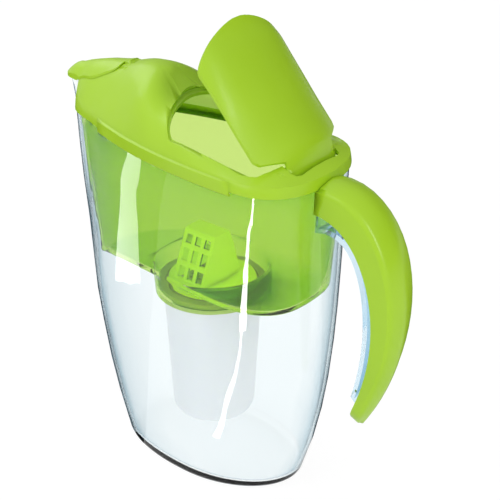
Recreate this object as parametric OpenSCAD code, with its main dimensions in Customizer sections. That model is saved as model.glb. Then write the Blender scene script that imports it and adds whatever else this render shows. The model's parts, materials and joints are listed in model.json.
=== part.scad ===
// Water filter pitcher with a flip lid.
// Millimetres, +Z up. X runs from the spout (-X) to the handle (+X); Y is across.
// The origin is on the underside of the jug, below the middle of its base.
// The lid's flip flap is drawn open, as it stands when its tongue is pressed right down.

/* [Jug] */
// Height of the jug's rim
rim_z = 225.7; // [215:0.1:240]
// Wall thickness of the jug
jug_wall = 2.4; // [1.8:0.1:3.2]
// Thickness of the jug's floor
jug_floor = 3.2; // [2.5:0.1:5]
// Radius of the jug's bottom edge
base_round = 5; // [3:0.5:8]
// Half width of the jug at its base
base_half_width = 41.2; // [36:0.1:46]
// Half width of the jug at its rim
rim_half_width = 45; // [42:0.1:50]
// Reach of the jug's base in front of the origin
base_front = 71.5; // [62:0.5:80]
// Reach of the jug's base behind the origin
base_rear = 61.5; // [55:0.5:70]
// Reach of the egg-shaped rim in front of the origin, spout left out
rim_front = 98.5; // [92:0.5:108]
// Reach of the rim behind the origin
rim_rear = 84.3; // [78:0.1:92]

/* [Spout] */
// Reach of the spout nose in front of the origin, at the rim
nose_reach = 118; // [112:0.5:121]
// Half width of the spout nose where it leaves the jug
nose_half_width = 20; // [16:0.5:24]
// Height at which the spout nose starts to stand out
nose_start_z = 96; // [80:1:140]
// Reach of the pouring lip
lip_reach = 126; // [122:0.5:132]
// Height of the pouring lip above the rim
lip_rise = 17.5; // [12:0.5:22]
// Depth of the channel that the hopper leaves inside the nose
spout_channel = 5; // [3:0.5:10]

/* [Hopper] */
// Height of the hopper's floor, at its underside
hopper_floor_z = 142; // [130:1:155]
// Wall thickness of the hopper
hopper_wall = 1.8; // [1.4:0.1:2.4]
// Thickness of the hopper's floor
hopper_floor = 2; // [1.5:0.1:3]
// Reach of the hopper's floor in front of the origin
hopper_front = 91; // [80:0.5:94]
// How far the floor curves down towards its front end
keel_drop = 13.5; // [4:0.5:15]
// Reach of the hopper's floor behind the origin
hopper_rear = 74; // [68:0.5:78]
// Half width of the hopper's floor
hopper_half_width = 41.8; // [38:0.1:43]
// Thickness of the hopper's rim flange
flange_t = 1.5; // [1.2:0.1:2]

/* [Cartridge] */
// Place of the cartridge's axis along X
cartridge_x = -6; // [-10:0.5:0]
// Height of the socket's underside
socket_z = 125; // [118:0.5:130]
// How far the socket's outer radius at the hopper's floor exceeds the cup's top radius
socket_seat = 6.7; // [6.3:0.1:6.9]
// How much narrower the socket is at its underside
socket_taper = 1.4; // [0.6:0.1:2]
// Wall thickness of the socket
socket_wall = 1.6; // [1.2:0.1:2]
// Radius of the cup under its flange
cup_r_top = 31.9; // [30:0.1:33]
// Radius of the cup above its rounded bottom edge
cup_r_bottom = 27; // [24:0.1:29]
// Height of the cup's underside
cup_z = 33.5; // [28:0.5:45]
// Wall thickness of the cup
cup_wall = 1.6; // [1.2:0.1:2.2]
// Thickness of the cup's flange
cup_flange_t = 3; // [2.5:0.1:4]
// Place of the inlet cage along X
cage_x = -11; // [-14:0.5:-6]
// Width of the inlet cage, along X
cage_width = 26; // [22:0.5:28]
// Depth of the cage at its foot, along Y
cage_foot = 38; // [32:0.5:42]
// Depth of the cage at its top, along Y
cage_top = 14; // [10:0.5:20]
// Height of the cage's top
cage_top_z = 165; // [158:0.5:174]
// Height of the carbon bed
carbon_h = 44; // [30:1:50]

/* [Lid] */
// How far the lid's edge stands out past the jug's rim
lid_overhang = 1.2; // [1:0.1:1.6]
// Wall thickness of the lid, measured upright
lid_t = 2.4; // [2:0.1:3]
// Height above the rim of the crease between the lid's edge band and its dome
crease_rise = 7.3; // [5.3:0.5:10.3]
// How far the side skirts stand out past the lid's edge
skirt_out = 1; // [0.6:0.1:1.6]
// How far the side skirts hang below the lid's edge
skirt_drop = 2.7; // [1.5:0.1:4]
// Front end of the side skirts
skirt_front = -78; // [-84:1:-60]
// Rear end of the side skirts
skirt_rear = 46; // [30:1:56]
// Half width of the fill opening
opening_half = 38.8; // [36:0.1:40]
// Place of the fill opening's front corners
opening_front = -3.8; // [-10:0.5:4]
// Length of the fill opening's round front
opening_arc = 19.5; // [16:0.5:24]
// Place of the fill opening's rear corners
opening_rear = 54.5; // [50:0.5:58]
// Width of the ledge round the fill opening
ledge_w = 1.6; // [1:0.1:2.4]

/* [Flaps] */
// Place of the flip flap's hinge along X
hinge_x = 69; // [67:0.5:71]
// Height of the flip flap's hinge above the rim
hinge_rise = 10.3; // [9.3:0.5:11.3]
// Angle at which the flip flap stands open
flap_open = 41.2; // [30:0.1:45]
// Thickness of the flip flap, measured upright when closed
flap_t = 2; // [1.6:0.1:2.6]
// Half width of the flip flap's tongue
tongue_half = 22; // [18:0.5:24]
// Rear end of the tongue, when closed
tongue_rear = 76.5; // [75:0.5:77.5]
// Place of the spout flap's hinge along X
leaf_hinge_x = -69; // [-72:0.5:-66]
// Reach of the spout flap's tip
leaf_tip = 127; // [126:0.5:130]
// Largest half width of the spout flap
leaf_half = 11; // [9:0.5:12]
// Thickness of the spout flap
leaf_t = 1.8; // [1.4:0.1:2.2]

/* [Handle] */
// Half width of the handle at its root
handle_half_root = 14; // [12:0.5:16]
// Half width of the handle at its tail
handle_half_tail = 8.5; // [7:0.5:10]
// Wall thickness of the handle cover
cover_wall = 2.4; // [1.8:0.1:3]

/* [Fits] */
// Gap between parts that rest on each other
seat_gap = 0.3; // [0.2:0.05:0.4]
// Clearance round the hopper inside the jug
hopper_clearance = 0.9; // [0.6:0.1:1.5]
// Gap round the flaps
flap_gap = 0.5; // [0.4:0.05:0.8]
// Radial running clearance of a trunnion in its hole
pivot_clearance = 0.06; // [0.03:0.01:0.1]
// Clearance between the handle cover and the stem
cover_clearance = 0.35; // [0.3:0.05:0.5]

/* [Hidden] */
$fn = 96;
crease_z = rim_z + crease_rise;
hinge_z = rim_z + hinge_rise;

// Points round half an outline; the whole ring has twice as many
half_steps = 36;
// Widest station of the egg at the rim, and its exponents at the base and at the rim
widest_x = 47;
base_power_front = 2.3;
base_power_rear = 1.95;
rim_power_front = 2.0;
rim_power_rear = 2.4;
// Widest station of the hopper's floor, and its exponents
hopper_widest_x = 17.5;
hopper_power_front = 4.5;
hopper_power_rear = 3;
// Where the spout nose leaves the egg
nose_root_x = -79;
// Length behind it over which the nose's width fades into the egg's
nose_fade = 60;
// The jug bulges between its base and its rim: values a third and two thirds of the way up
third_front = 97;
third_rear = 79.5;
third_half_width = 45.3;
two_thirds_front = 104;
two_thirds_rear = 83.2;
two_thirds_half_width = 47;

clear_plastic = [0.86, 0.92, 0.95, 0.35];
hopper_green = [0.60, 0.80, 0.25, 0.6];
lime_green = [0.66, 0.83, 0.28];
bright_green = [0.75, 0.95, 0.2];
cup_white = [0.93, 0.94, 0.94];
seal_grey = [0.75, 0.76, 0.76];
carbon_black = [0.12, 0.12, 0.12];
resin_amber = [0.8, 0.65, 0.35];

// ---------------------------------------------------------------- outlines

// Value at share t of the height, through four values at 0, 1/3, 2/3 and 1
function through_thirds(t, v) =
    v[0] * (1 - 3 * t) * (2 - 3 * t) * (1 - t) / 2
    + v[1] * 9 * t * (2 - 3 * t) * (1 - t) / 2
    + v[2] * 9 * t * (3 * t - 1) * (1 - t) / 2
    + v[3] * t * (3 * t - 1) * (3 * t - 2) / 2;

function mix(a, b, t) = a + (b - a) * t;
function clamp01(t) = min(1, max(0, t));
function smooth01(t) = let (c = clamp01(t)) c * c * (3 - 2 * c);
// From 0 to 1 in a straight line that starts in a small curve
function eased(t) = (t < 0.15 ? pow(t, 2) / 0.3 : t - 0.075) / 0.925;
function power_arc(u, n) = pow(max(0, 1 - pow(clamp01(u), n)), 1 / n);

// An egg is [widest station, front reach, rear reach, half width, front exponent, rear exponent,
// nose reach, nose half width]
function jug_egg(z, grow = 0) =
    let (t = clamp01(z / rim_z),
         front = through_thirds(t, [base_front, third_front, two_thirds_front, rim_front]),
         rear = through_thirds(t, [base_rear, third_rear, two_thirds_rear, rim_rear]),
         half = through_thirds(t, [base_half_width, third_half_width, two_thirds_half_width,
                                   rim_half_width]),
         stand_out = eased(clamp01((z - nose_start_z) / (rim_z - nose_start_z))))
    [widest_x * t, front + grow, rear + grow, half + grow,
     mix(base_power_front, rim_power_front, t), mix(base_power_rear, rim_power_rear, t),
     front + stand_out * (nose_reach - rim_front) + grow, nose_half_width + grow];

function egg_half(x, e) =
    x > e[0] ? e[3] * power_arc((x - e[0]) / (e[2] - e[0]), e[5])
             : e[3] * power_arc((e[0] - x) / (e[0] + e[1]), e[4]);
function nose_half(x, e) =
    e[6] < e[1] + 0.01 ? 0
    : x < nose_root_x ? e[7] * power_arc((nose_root_x - x) / (e[6] + nose_root_x), 2)
    : e[7] * (1 - smooth01((x - nose_root_x) / nose_fade));
function outline_half(x, e) = pow(pow(egg_half(x, e), 6) + pow(nose_half(x, e), 6), 1 / 6);

// Station i of an outline that reaches from lo to hi, closer together at the ends
function station(i, lo, hi) = mix(lo, hi, (1 - cos(180 * (i + 0.5) / half_steps)) / 2);
// A ring is one half's points, then the same points mirrored, in reverse order
function mirrored(half) =
    concat(half, [for (i = [len(half) - 1:-1:0]) let (p = half[i])
        len(p) > 2 ? [p[0], -p[1], p[2]] : [p[0], -p[1]]]);
function jug_ring(e) = mirrored([for (i = [0:half_steps - 1])
    let (x = station(i, -max(e[1], e[6]), e[2])) [x, outline_half(x, e)]]);
function at_height(ring, z) = [for (p = ring) [p[0], p[1], z]];

// ---------------------------------------------------------------- solids from rings

// Closed solid through a list of rings of equal length. Point i and point n - 1 - i of a ring face
// each other, and each ring runs clockwise when it is looked at from the last ring's side.
module loft(rings) {
    n = len(rings[0]);
    last = (len(rings) - 1) * n;
    sides = [for (k = [0:len(rings) - 2], i = [0:n - 1])
        let (a = k * n + i, b = k * n + (i + 1) % n) each [[a, b, b + n], [a, b + n, a + n]]];
    ladder = [for (i = [0:n / 2 - 2]) each [[i, i + 1, n - 2 - i], [i, n - 2 - i, n - 1 - i]]];
    start = [for (f = ladder) [f[2], f[1], f[0]]];
    end = [for (f = ladder) [f[0] + last, f[1] + last, f[2] + last]];
    polyhedron(points = [for (ring = rings) each ring], faces = concat(start, sides, end));
}

// Smooth curve through points [x, z] that are listed in order of x
function slope_at(p, i) =
    let (a = max(0, i - 1), b = min(len(p) - 1, i + 1)) (p[b][1] - p[a][1]) / (p[b][0] - p[a][0]);
function span_of(p, x, i = 0) = (i >= len(p) - 2 || x < p[i + 1][0]) ? i : span_of(p, x, i + 1);
function curve(p, x) =
    let (i = span_of(p, x), w = p[i + 1][0] - p[i][0], t = clamp01((x - p[i][0]) / w))
    (2 * pow(t, 3) - 3 * pow(t, 2) + 1) * p[i][1] + (pow(t, 3) - 2 * pow(t, 2) + t) * w * slope_at(p, i)
    + (3 * pow(t, 2) - 2 * pow(t, 3)) * p[i + 1][1] + (pow(t, 3) - pow(t, 2)) * w * slope_at(p, i + 1);

// Cubic curve on four control points
function bezier(p, t) =
    pow(1 - t, 3) * p[0] + 3 * t * pow(1 - t, 2) * p[1] + 3 * pow(t, 2) * (1 - t) * p[2]
    + pow(t, 3) * p[3];

// ---------------------------------------------------------------- jug

// Inset of the outer wall at its rounded bottom edge
function round_inset(z) =
    z >= base_round ? 0 : base_round - sqrt(pow(base_round, 2) - pow(base_round - z, 2));
edge_steps = 4;
wall_steps = 9;
// Below this drop from the rim, the wall follows the even heights of its rings
rim_band = 4;
function wall_z(k) = mix(base_round, rim_z, k / wall_steps);

// The lip is the front of the rim, turned up and forward; most of its flare is in its upper half
lip_root = 0.965;
lip_flare_z = 9;
lip_flare_out = 1.5;
// Share by which the lip narrows at its tip
lip_pinch = 0.75;
// Point of the rim's ring at station i, `drop` below the rim; it stands out and up at the tip
function rim_point(i, grow, reach, drop, rise) =
    let (e = jug_egg(rim_z, grow),
         share = smooth01((-station(i, -e[6], e[2]) / e[6] - lip_root) / (1 - lip_root)),
         far = mix(e[6], reach + grow, share),
         x = station(i, -far, e[2]),
         y = outline_half(x, [e[0], e[1], e[2], e[3], e[4], e[5], far, e[7]]))
    [x, y * (1 - lip_pinch * share * rise / lip_rise), rim_z - drop + (rise + drop) * share];
function rim_ring(grow, reach, drop, rise) =
    mirrored([for (i = [0:half_steps - 1]) rim_point(i, grow, reach, drop, rise)]);
function rim_rings(grow) =
    [rim_ring(grow, nose_reach, rim_band, 0),
     rim_ring(grow, nose_reach + lip_flare_out, rim_band / 4, lip_flare_z),
     rim_ring(grow, lip_reach, 0, lip_rise)];

jug_outer_rings = concat(
    [for (k = [0:edge_steps])
        let (z = base_round * (1 - cos(90 * k / edge_steps)))
        at_height(jug_ring(jug_egg(z, -round_inset(z))), z)],
    [for (k = [1:wall_steps - 1]) at_height(jug_ring(jug_egg(wall_z(k))), wall_z(k))],
    rim_rings(0));

// Inset of the inner wall where it rounds into the floor
floor_round = 6;
function floor_inset(z) =
    let (up = z - jug_floor)
    up >= floor_round ? 0 : floor_round - sqrt(pow(floor_round, 2) - pow(floor_round - up, 2));
function inner_ring(z) = at_height(jug_ring(jug_egg(z, -jug_wall - floor_inset(z))), z);
jug_inner_rings = concat(
    [for (k = [2:-1:0]) rim_rings(-jug_wall)[k]],
    [for (k = [wall_steps - 1:-1:1]) inner_ring(wall_z(k))],
    [for (k = [edge_steps:-1:0]) inner_ring(jug_floor + floor_round * (1 - cos(90 * k / edge_steps)))]);

module jug_body() {
    color(clear_plastic)
        loft(concat(jug_outer_rings, jug_inner_rings));
}

// ---------------------------------------------------------------- handle

// Side view of the handle: its crown, the cover's inner edge and the stem's inner edge, each with
// four control points that are measured from the rear end of the rim
function from_rim(points) = [for (p = points) [p[0] + rim_rear, p[1] + rim_z]];
crown_curve = from_rim([[-1.3, 3.8], [57.5, 12], [83.2, -82.7], [23.5, -168.7]]);
cover_curve = from_rim([[-3.8, -15.2], [39.7, -13.2], [59.2, -86.7], [18.2, -163.7]]);
stem_curve = from_rim([[-3.8, -29.7], [34.2, -12.7], [45.7, -84.2], [17.2, -159.2]]);
handle_steps = 26;
// Rise of the cover's broad top, and the radius of the ridge between it and a side
dome_rise = 2.4;
ridge_r = 4;
corner_least = 0.6;
// Share of the curves at which the cover, its hollow and the stem end, and over which the tail rounds
tail_end = 0.955;
tail_share = 0.05;
hollow_end = 0.91;
stem_end = 0.9;
stem_wall = 2.2;
stem_engagement = 5;

function handle_half(t) =
    mix(handle_half_root, handle_half_tail, smooth01((t - 0.35) / 0.65) * 0.9 + clamp01(t) * 0.1)
    * max(0.35, power_arc((t - tail_end + tail_share) / tail_share, 2));

// Point of a section: u across the handle from one curve towards another, and y
function section_point(from, to, t, u, y) =
    let (a = bezier(from, t), b = bezier(to, t), d = (b - a) / norm(b - a))
    [a[0] + d[0] * u, y, a[1] + d[1] * u];

// Depth of the cover from its crown to its inner edge
function cover_depth(t) = norm(bezier(crown_curve, t) - bezier(cover_curve, t));

// Section of the cover, drawn in by a wall; its open side is pulled back by that wall too
ridge_points = 3;
dome_points = 3;
function cover_section(t, wall) =
    let (half = handle_half(t) - wall,
         top = cover_depth(t) - wall,
         fit = min(1, top / (2 * (dome_rise + ridge_r))),
         rise = dome_rise * fit,
         r = max(corner_least, min(ridge_r * fit, half / 2) - wall),
         side = concat([[-2 * wall, half]],
                       [for (k = [0:ridge_points])
                           let (a = 75 * k / ridge_points)
                           [top - rise - r + r * sin(a), half - r + r * cos(a)]],
                       [for (k = [dome_points - 1:-1:0])
                           let (s = (k + 0.3) / dome_points)
                           [top - rise * pow(s, 2), (half - r) * s]]))
    [for (p = side) section_point(cover_curve, crown_curve, t, p[0], p[1])];

// Stations along the handle, closer together towards its tail
function handle_t(k, t_start, t_end) = mix(t_end, t_start, pow(1 - k / handle_steps, 1.5));
module cover_solid(wall, t_start, t_end) {
    loft([for (k = [handle_steps:-1:0])
        mirrored(cover_section(handle_t(k, t_start, t_end), wall))]);
}

// Part of the jug's outside that the handle's root meets, and the room under the lid's edge
module root_cutter(gap) {
    loft(concat([for (k = [wall_steps - 3:wall_steps - 1])
                    at_height(jug_ring(jug_egg(wall_z(k), gap)), wall_z(k))],
                [at_height(jug_ring(jug_egg(rim_z, gap)), rim_z - rim_band),
                 at_height(jug_ring(jug_egg(rim_z, gap)), rim_z + 20)]));
}
module lid_room(gap) {
    under = rim_z - gap / 2;
    loft([at_height(jug_ring(jug_egg(rim_z, lid_overhang + gap)), under),
          at_height(jug_ring(jug_egg(rim_z, lid_overhang + gap)), under + 20)]);
}

module handle_cover() {
    color(lime_green)
        difference() {
            cover_solid(0, 0, tail_end);
            cover_solid(cover_wall, -0.03, hollow_end);
            root_cutter(cover_clearance);
            lid_room(2 * cover_clearance);
        }
}

function stem_section(t) =
    let (half = handle_half(t) - cover_wall - cover_clearance * (1 + t),
         room = cover_depth(t) - cover_wall - dome_rise - 3 * cover_clearance,
         depth = norm(bezier(cover_curve, t) - bezier(stem_curve, t)) + min(stem_engagement, room),
         inside = half - stem_wall,
         points = [[depth, half], [0, half], [0, -half], [depth, -half],
                   [depth, -inside], [stem_wall, -inside], [stem_wall, inside], [depth, inside]])
    [for (p = points) section_point(stem_curve, cover_curve, t, p[0], p[1])];

module handle_stem() {
    color(clear_plastic)
        difference() {
            loft([for (k = [0:handle_steps]) stem_section(handle_t(k, -0.02, stem_end))]);
            root_cutter(0);
        }
}

// ---------------------------------------------------------------- hopper

flange_z = rim_z + seat_gap;
floor_top = hopper_floor_z + hopper_floor;
band_drop = 8;
band_z = flange_z - band_drop;
band_out = 0.4;

// The hopper's wall runs straight from its floor's egg to an outline just inside the jug's rim,
// which is cut off in front to leave the spout's channel. It stays inside the jug at its own height
// and at those it passes when it is lifted out. The floor is level over the socket and curves down
// ahead of it.
keel_from = -15;
function keel(x) = keel_drop * pow(clamp01((keel_from - x) / (keel_from + hopper_front)), 2);
function hopper_room(z, grow) = jug_egg(min(z, rim_z), grow - jug_wall - hopper_clearance);
function hopper_point(i, z, grow) =
    let (t = clamp01((z - hopper_floor_z) / (flange_z - hopper_floor_z)),
         low = [hopper_widest_x, hopper_front + grow, hopper_rear + grow, hopper_half_width + grow,
                hopper_power_front, hopper_power_rear, 0, 0],
         high = hopper_room(rim_z, grow),
         low_x = station(i, -low[1], low[2]),
         high_x = station(i, spout_channel - high[6], high[2]),
         x = mix(low_x, high_x, t),
         low_z = z - keel(x) * (1 - t))
    [x, min(mix(egg_half(low_x, low), outline_half(high_x, high), t),
            min([for (k = [0:2]) outline_half(x, hopper_room(mix(low_z, rim_z, k / 2), grow))])),
     low_z];
function hopper_ring(z, grow) = mirrored([for (i = [0:half_steps - 1]) hopper_point(i, z, grow)]);

// The flange rests on the rim behind the nose; over the nose it is the wall's own top edge
flange_inset = 1.5;
flange_from = -72;
flange_blend = 14;
function flange_ring(z) =
    let (wall = hopper_room(rim_z, band_out), rim = jug_egg(rim_z, -flange_inset))
    at_height(mirrored([for (i = [0:half_steps - 1])
        let (x = station(i, spout_channel - wall[6], rim[2]),
             share = smooth01((x - flange_from) / flange_blend))
        [x, mix(outline_half(x, wall), outline_half(x, rim), share)]]), z);

hopper_edge = 2;
hopper_heights = [for (share = [0.05, 0.275, 0.515, 0.73]) mix(hopper_floor_z, rim_z, share)];
module hopper_shell() {
    loft(concat(
        [hopper_ring(hopper_floor_z, -hopper_edge), hopper_ring(hopper_floor_z + 0.6, -0.6),
         hopper_ring(hopper_floor_z + hopper_edge, 0)],
        [for (z = hopper_heights) hopper_ring(z, 0)],
        [hopper_ring(band_z, 0), hopper_ring(band_z + 0.5, band_out), hopper_ring(flange_z, band_out),
         flange_ring(flange_z), flange_ring(flange_z + flange_t),
         hopper_ring(flange_z + flange_t, -hopper_wall), hopper_ring(band_z, -hopper_wall)],
        [for (k = [len(hopper_heights) - 1:-1:1]) hopper_ring(hopper_heights[k], -hopper_wall)],
        [hopper_ring(floor_top + 2, -hopper_wall), hopper_ring(floor_top, -hopper_wall - 1.5)]));
}

socket_floor = 2;
socket_r_top = cup_r_top + socket_seat;
socket_r_bottom = socket_r_top - socket_taper;
socket_top = floor_top - hopper_floor / 2;
function socket_r(z) =
    mix(socket_r_bottom, socket_r_top, (z - socket_z) / (socket_top - socket_z));
well_z = socket_z + socket_floor;
hole_clearance = 0.5;
seal_w = 2;
seal_h = 1.7;
seal_r = cup_r_top + hole_clearance + 0.6;

module hopper() {
    color(hopper_green)
        difference() {
            union() {
                hopper_shell();
                translate([cartridge_x, 0, socket_z])
                    cylinder(h = socket_top - socket_z, r1 = socket_r_bottom, r2 = socket_r_top);
            }
            translate([cartridge_x, 0, well_z])
                cylinder(h = floor_top + 1 - well_z, r1 = socket_r(well_z) - socket_wall,
                         r2 = socket_r(floor_top + 1) - socket_wall);
            translate([cartridge_x, 0, socket_z - 1])
                cylinder(h = socket_floor + 2, r = cup_r_top + hole_clearance);
        }
}

// ---------------------------------------------------------------- cartridge

flange_under_z = well_z + seat_gap + 0.6;
flange_top_z = flange_under_z + cup_flange_t;
flange_r = socket_r(flange_under_z) - socket_wall - 0.5;
cup_edge = 7;
bed_gap = 0.3;
screen_t = 1.2;
felt_t = 2;
outlet_z = cup_z + cup_wall + bed_gap;
outlet_r = cup_r_bottom - cup_edge + 1.5;
felt_z = 76;
resin_z = outlet_z + cup_edge - cup_wall;
carbon_z = felt_z + felt_t + bed_gap;
inlet_z = flange_top_z - screen_t;
drain_slots = 10;

function cup_r(z) = mix(cup_r_bottom, cup_r_top, (z - cup_z) / (flange_under_z - cup_z));
function bed_r(z) = cup_r(z) - cup_wall - bed_gap;

// Solid that follows the cup's taper inside it
module bed(z, h) {
    translate([cartridge_x, 0, z])
        cylinder(h = h, r1 = bed_r(z), r2 = bed_r(z + h));
}

// Cup's outline to one side of its axis, drawn in by a wall, up to height top
module cup_outline(wall, top) {
    edge = cup_edge - wall;
    r = cup_r(cup_z + cup_edge) - wall - edge;
    translate([r, cup_z + cup_edge])
        intersection() {
            circle(r = edge);
            translate([0, -edge])
                square(edge);
        }
    polygon([[0, cup_z + wall], [r, cup_z + wall], [r, cup_z + cup_edge],
             [cup_r(cup_z + cup_edge) - wall, cup_z + cup_edge], [cup_r(top) - wall, top], [0, top]]);
}

module cartridge_cup() {
    color(cup_white)
        translate([cartridge_x, 0, 0])
            difference() {
                union() {
                    rotate_extrude()
                        cup_outline(0, flange_under_z + 1);
                    translate([0, 0, flange_under_z])
                        cylinder(h = cup_flange_t, r = flange_r);
                }
                rotate_extrude()
                    cup_outline(cup_wall, flange_top_z + 1);
                translate([0, 0, flange_under_z - 1])
                    difference() {
                        cylinder(h = seal_h - 0.6 + 1, r = seal_r + seal_w + 0.1);
                        translate([0, 0, -1])
                            cylinder(h = seal_h + 3, r = seal_r - 0.1);
                    }
                for (i = [0:drain_slots - 1])
                    rotate(360 * i / drain_slots)
                        translate([9, -0.7, cup_z - 1])
                            cube([9, 1.4, cup_wall + 2]);
            }
}

module cartridge_seal() {
    color(seal_grey)
        translate([cartridge_x, 0, well_z + seat_gap])
            difference() {
                cylinder(h = seal_h, r = seal_r + seal_w);
                translate([0, 0, -1])
                    cylinder(h = seal_h + 2, r = seal_r);
            }
}

// Disc with round holes on rings, on the cartridge's axis
module screen(z, r) {
    ring_step = 4.6;
    translate([cartridge_x, 0, z])
        difference() {
            cylinder(h = screen_t, r = r);
            for (k = [1:4], i = [0:6 * k - 1])
                rotate(60 * i / k)
                    translate([k * ring_step, 0, -1])
                        cylinder(h = screen_t + 2, r = 1.2, $fn = 24);
        }
}
module inlet_screen() {
    color(seal_grey)
        screen(inlet_z, bed_r(inlet_z));
}
module outlet_screen() {
    color(seal_grey)
        screen(outlet_z, outlet_r);
}
module carbon_bed() {
    color(carbon_black)
        bed(carbon_z, carbon_h);
}
module felt_divider() {
    color(seal_grey)
        bed(felt_z, felt_t);
}
module resin_bed() {
    color(resin_amber)
        bed(resin_z, felt_z - bed_gap - resin_z);
}

cage_disc_t = 1.5;
cage_disc_inset = 2.9;
cage_disc_r = cup_r_top - cage_disc_inset;
cage_foot_z = flange_top_z + cage_disc_t;
cage_wall = 1.6;
window_w = 4.8;
window_pitch = 7.6;
window_rows = [[133.5, 8], [145, 8], [156, 5.5]];

// Tower between its front view and its side view, drawn in by a wall
module tower(wall, foot_z) {
    low = cage_foot / 2 - wall;
    wide = cage_width / 2 - wall;
    top = cage_top_z - wall;
    intersection() {
        rotate([90, 0, 0])
            linear_extrude(height = 2 * cage_foot, center = true)
                polygon([[-wide, foot_z], [wide, foot_z], [wide - 0.5, top], [0.5 - wide, top]]);
        rotate([90, 0, 90])
            linear_extrude(height = 2 * cage_width, center = true)
                polygon([[-low, foot_z], [low, foot_z], [cage_top / 2 + 2 - wall, top],
                         [wall + 2 - cage_top / 2, top]]);
    }
}

module cartridge_cage() {
    color(bright_green)
        difference() {
            union() {
                translate([cartridge_x, 0, flange_top_z])
                    cylinder(h = cage_disc_t, r = cage_disc_r);
                translate([cage_x, 0, 0])
                    tower(0, cage_foot_z - 0.5);
            }
            translate([cage_x, 0, 0]) {
                tower(cage_wall, flange_top_z - 1);
                for (row = window_rows, column = [-1:1])
                    translate([column * window_pitch - window_w / 2, -cage_foot, row[0]])
                        cube([window_w, 2 * cage_foot, row[1]]);
            }
        }
}

// ---------------------------------------------------------------- lid

// Height of the lid's top above the rim along its middle, from the spout's tip to the rear edge
crest_points = [[-120, 24.3], [-108, 29.8], [-95, 33.8], [-81, 37.3], [-68, 40.8], [-52, 45.1],
                [-38, 43.5], [-23, 32.3], [-4, 29.3], [54, 21.3], [63, 19.8], [75.5, 12], [85.5, 7.3]];
// Share of the crown's fall to its edge that is an even arch; the rest is a shoulder at the edge
arch_points = [[-120, 1], [-85, 1], [-68, 0.94], [-52, 0.83], [-38, 0.56], [-23, 0.4], [-4, 0.33],
               [12, 0.55], [54, 1.15], [85, 1]];
shoulder_power = 8;
lid_z = rim_z + seat_gap;
lid_wall = 2;
crease_inset = 0.7;
nose_cut_x = -112.3;
crown_centre_x = -45;
crown_shares = [0.98, 0.95, 0.91, 0.86, 0.8, 0.735, 0.665, 0.59, 0.51, 0.42, 0.32, 0.21, 0.1];
under_shares = [0.975, 0.93, 0.87, 0.79, 0.69, 0.57, 0.43, 0.28, 0.12];

function lid_egg(grow) = jug_egg(rim_z, lid_overhang + grow);
function lid_half(x, grow = 0) = outline_half(x, lid_egg(grow - crease_inset));
function crest(x) = rim_z + curve(crest_points, x);
// Height of the crown at x and y, or of its underside, which is drawn in by inset
function crown_z(x, y, inset = 0) =
    let (r = min(1, abs(y) / max(1, lid_half(x, -inset))), arch = curve(arch_points, x),
         top = max(crest(x), crease_z) - inset * lid_t / lid_wall,
         edge = crease_z - inset)
    top - (top - edge) * (arch * pow(r, 2) + (1 - arch) * pow(r, shoulder_power));

function crown_ring(share, inset) =
    let (edge = jug_ring(lid_egg(-crease_inset - inset)))
    [for (p = edge)
        let (x = mix(crown_centre_x, p[0], share), y = share * p[1])
        [x, y, share == 1 ? crease_z - inset : crown_z(x, y, inset)]];

module lid_crown() {
    loft(concat(
        [for (k = [len(under_shares) - 1:-1:0]) crown_ring(under_shares[k], lid_wall)],
        [crown_ring(1, lid_wall)],
        [at_height(jug_ring(lid_egg(-lid_wall)), lid_z), at_height(jug_ring(lid_egg(0)), lid_z),
         at_height(jug_ring(lid_egg(0)), lid_z + 1.5)],
        [for (share = concat([1], crown_shares)) crown_ring(share, 0)]));
}

// Skirt on one side: a band that follows the lid's edge and hangs below it
skirt_clearance = 0.4;
skirt_steps = 18;
module skirt() {
    bottom = lid_z - skirt_drop;
    top = crease_z - 0.8;
    loft([for (k = [0:skirt_steps])
        let (x = mix(skirt_front, skirt_rear, k / skirt_steps),
             inner = outline_half(x, jug_egg(rim_z, skirt_clearance)),
             outer = outline_half(x, lid_egg(skirt_out)))
        [[x, inner, bottom], [x, inner, top], [x, outer - 0.6, top], [x, outer, top - 0.8],
         [x, outer, bottom + 0.8], [x, outer - 0.6, bottom]]]);
}

// Half width of the fill opening's outline, grown by g, at angle a round its front (90 = side)
arc_power = 1.7;
function arc_point(a, g) =
    [opening_front - (opening_arc + g) * pow(cos(a), 2 / arc_power),
     (opening_half + g) * pow(sin(a), 2 / arc_power)];
arc_steps = 20;
function arc_points(g) =
    [for (k = [0:arc_steps]) arc_point(90 * (1 - cos(90 * k / arc_steps)), g)];

slot_half = tongue_half + flap_gap;
slot_rear = tongue_rear + flap_gap + 0.3;
slot_corner = 5;
shoulder_x = opening_rear + 4.5;
neck_x = 66;
opening_half_points = concat(
    [for (p = arc_points(0)) if (p[1] > 0.5) p],
    [[opening_rear, opening_half], [shoulder_x, opening_half - 1.8], [neck_x - 2.4, slot_half + 7],
     [neck_x, slot_half + 1], [neck_x + 0.5, slot_half], [slot_rear - slot_corner, slot_half],
     [slot_rear - 1.5, slot_half - 1.5], [slot_rear, slot_half - slot_corner]]);

module opening_cutter() {
    translate([0, 0, lid_z - 1])
        linear_extrude(height = 60)
            polygon(mirrored(opening_half_points));
}

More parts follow.
